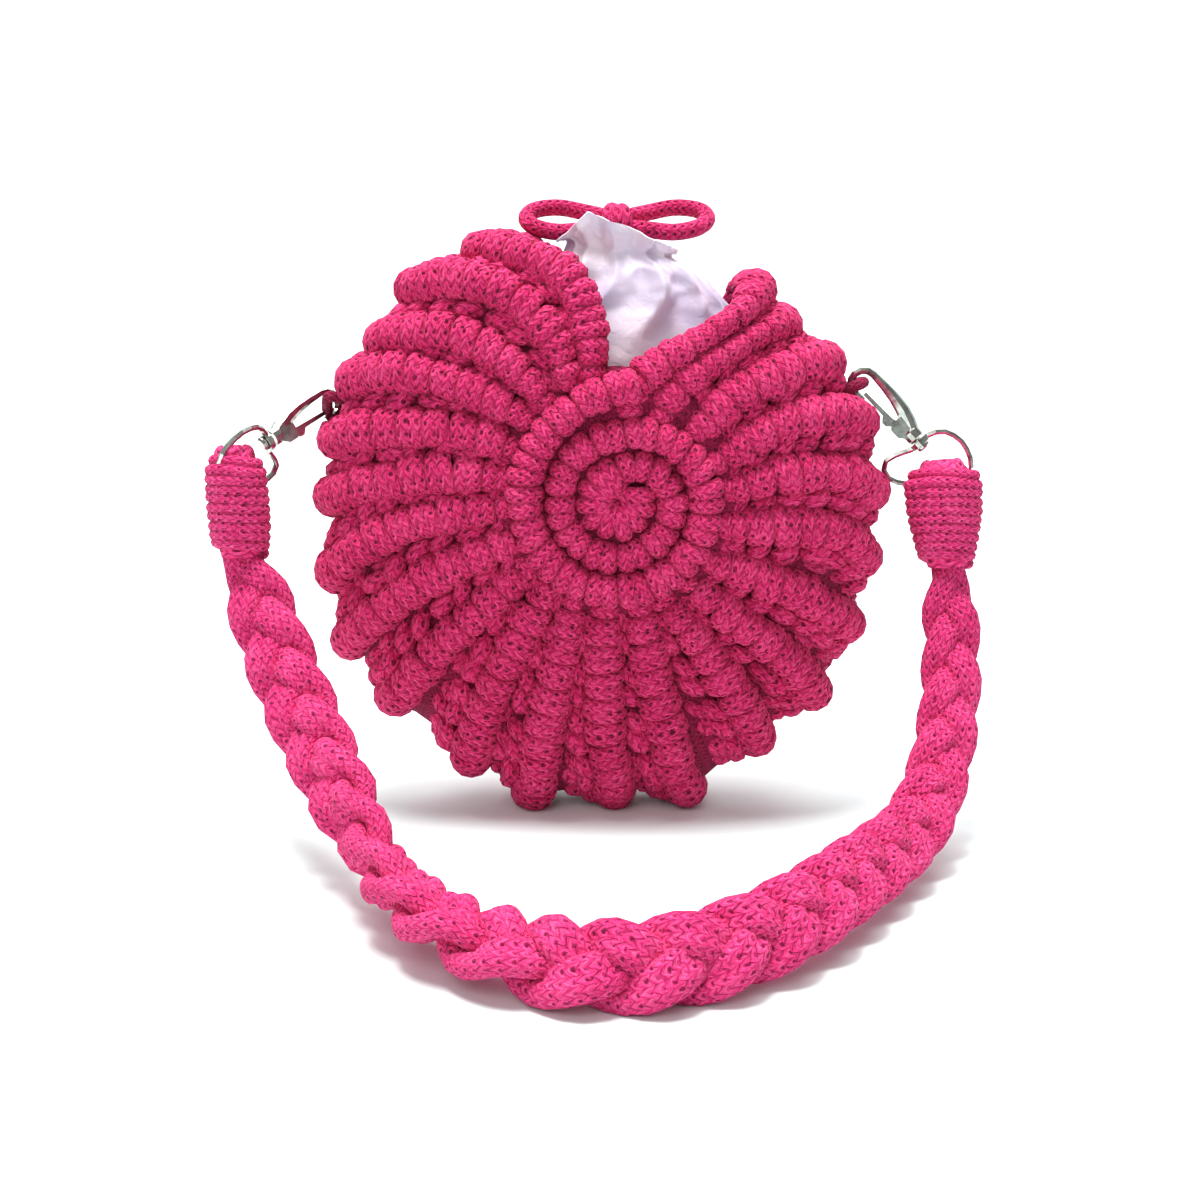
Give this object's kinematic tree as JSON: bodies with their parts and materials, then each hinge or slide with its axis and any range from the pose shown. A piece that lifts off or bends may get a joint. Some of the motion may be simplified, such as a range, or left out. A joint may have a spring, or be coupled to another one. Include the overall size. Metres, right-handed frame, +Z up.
{
  "type": "macrame shoulder bag",
  "caption": "Round knotted cord shoulder bag with ribs fanning from a wound coil, a gathered satin lining, a bow and a braided strap on snap hooks",
  "frame": {"origin": "on the floor, centre of the flat under the lowest rib", "axes": "+X to the right as seen from the front, -Y out of the front, +Z up"},
  "size_m": [0.2424, 0.2056, 0.1951],
  "materials": {
    "cotton_cord": "matt braided cotton",
    "strap_cord": "matt braided cotton",
    "lining_satin": "soft satin",
    "nickel": "polished nickel plate"
  },
  "bodies": {
    "bag": {"side_band": "cotton_cord", "front_panel": "cotton_cord", "back_panel": "cotton_cord", "front_coil": "cotton_cord", "back_coil": "cotton_cord", "lining": "lining_satin", "bow_knot": "cotton_cord", "bow_loop_left": "cotton_cord", "bow_loop_right": "cotton_cord", "bow_tail_left": "cotton_cord", "bow_tail_right": "cotton_cord", "left_hook": "nickel", "left_ring": "nickel", "left_strap_end": "strap_cord", "right_hook": "nickel", "right_ring": "nickel", "right_strap_end": "strap_cord", "strap_strand_a": "strap_cord", "strap_strand_b": "strap_cord", "strap_strand_c": "strap_cord"},
    "left_lever": {"left_gate": "nickel"},
    "right_lever": {"right_gate": "nickel"}
  },
  "joints": [
    {"name": "left_gate_hinge", "type": "hinge", "parent": "bag", "child": "left_lever", "pos_m": [-0.1022, -0.01171, 0.12309], "axis": [0.5841, -0.7499, 0.3105], "range_deg": [0, 12], "stiffness_Nm_per_rad": 0.01, "springref_deg": -11.46},
    {"name": "right_gate_hinge", "type": "hinge", "parent": "bag", "child": "right_lever", "pos_m": [0.08933, -0.00209, 0.12417], "axis": [0.1199, 0.9915, -0.0507], "range_deg": [0, 12], "stiffness_Nm_per_rad": 0.01, "springref_deg": -11.46}
  ]
}
